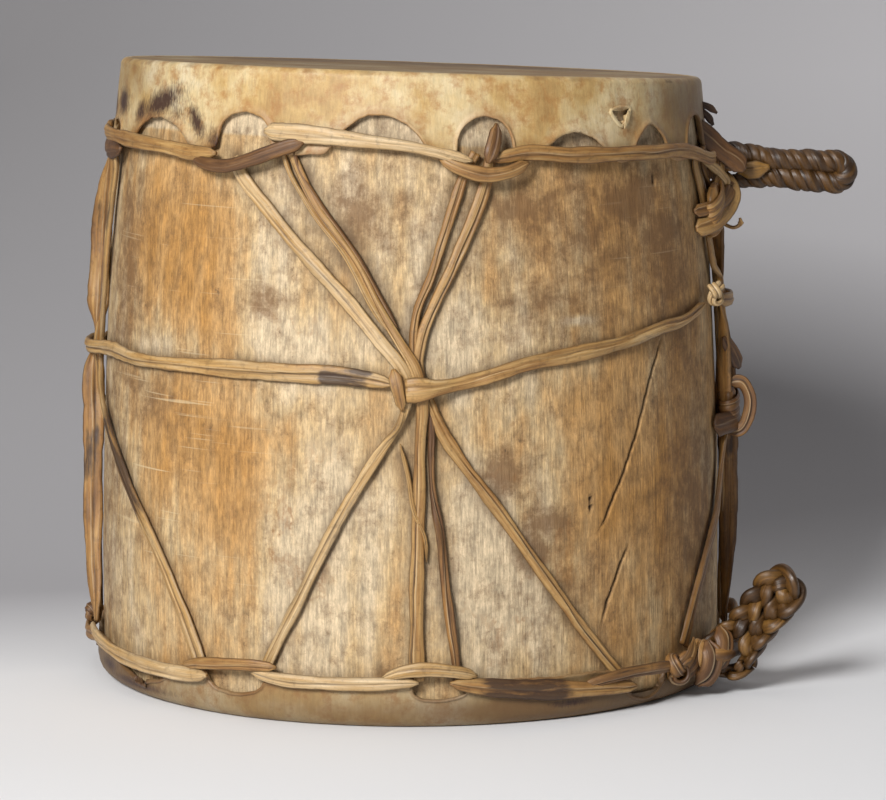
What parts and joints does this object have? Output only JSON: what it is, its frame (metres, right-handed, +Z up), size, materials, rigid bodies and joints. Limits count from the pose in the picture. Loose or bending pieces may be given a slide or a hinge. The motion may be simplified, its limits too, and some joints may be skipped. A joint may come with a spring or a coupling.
{
  "type": "laced log drum",
  "caption": "Hollow-log drum with a rawhide head lapped over each end, thong lacing gathered at the waist and plaited loop handles on one side.",
  "frame": {"origin": "middle of the lower head's resting face", "axes": "+Z up along the drum's axis, +X towards the side with the handles, -Y towards the viewer of the picture"},
  "size_m": [0.2877, 0.2466, 0.2258],
  "materials": {
    "shell_wood": "dry, unvarnished, weathered",
    "head_rawhide": "stretched rawhide, satin",
    "thong_rawhide": "dried twisted rawhide",
    "plaited_rawhide": "plaited, handled, slightly glossy"
  },
  "bodies": {
    "drum": {"back_lace_1": "thong_rawhide", "back_lace_2": "thong_rawhide", "back_lace_3": "thong_rawhide", "back_lace_4": "thong_rawhide", "back_left_waist_strap": "thong_rawhide", "foot_knot": "thong_rawhide", "front_lace_1": "thong_rawhide", "front_lace_2": "thong_rawhide", "front_lace_3": "thong_rawhide", "front_lace_4": "thong_rawhide", "front_right_waist_strap": "thong_rawhide", "left_front_waist_strap": "thong_rawhide", "left_lace_1": "thong_rawhide", "left_lace_2": "thong_rawhide", "left_lace_3": "thong_rawhide", "left_lace_4": "thong_rawhide", "lower_handle_front_whipping": "thong_rawhide", "lower_handle_hanger": "thong_rawhide", "lower_handle_rear_whipping": "thong_rawhide", "lower_head": "head_rawhide", "lower_rim_strap": "thong_rawhide", "right_back_waist_strap": "thong_rawhide", "right_lace_1": "thong_rawhide", "right_lace_2": "thong_rawhide", "right_lace_3": "thong_rawhide", "right_lace_4": "thong_rawhide", "shell": "shell_wood", "tension_tie": "thong_rawhide", "upper_handle_front_whipping": "thong_rawhide", "upper_handle_hanger": "thong_rawhide", "upper_handle_rear_whipping": "thong_rawhide", "upper_head": "head_rawhide", "upper_lashing": "thong_rawhide", "upper_rim_strap": "thong_rawhide", "waist_knot": "thong_rawhide"},
    "upper_loop": {"upper_handle": "plaited_rawhide"},
    "lower_loop": {"lower_handle": "plaited_rawhide"}
  },
  "joints": [
    {"name": "upper_handle_swing", "type": "hinge", "parent": "drum", "child": "upper_loop", "pos_m": [0.11752, 0, 0.18551], "axis": [0, -1, 0], "range_deg": [-50, 55]},
    {"name": "lower_handle_swing", "type": "hinge", "parent": "drum", "child": "lower_loop", "pos_m": [0.11536, -0.05626, 0.015], "axis": [-0.4384, -0.8988, 0], "range_deg": [-45, 28]}
  ]
}
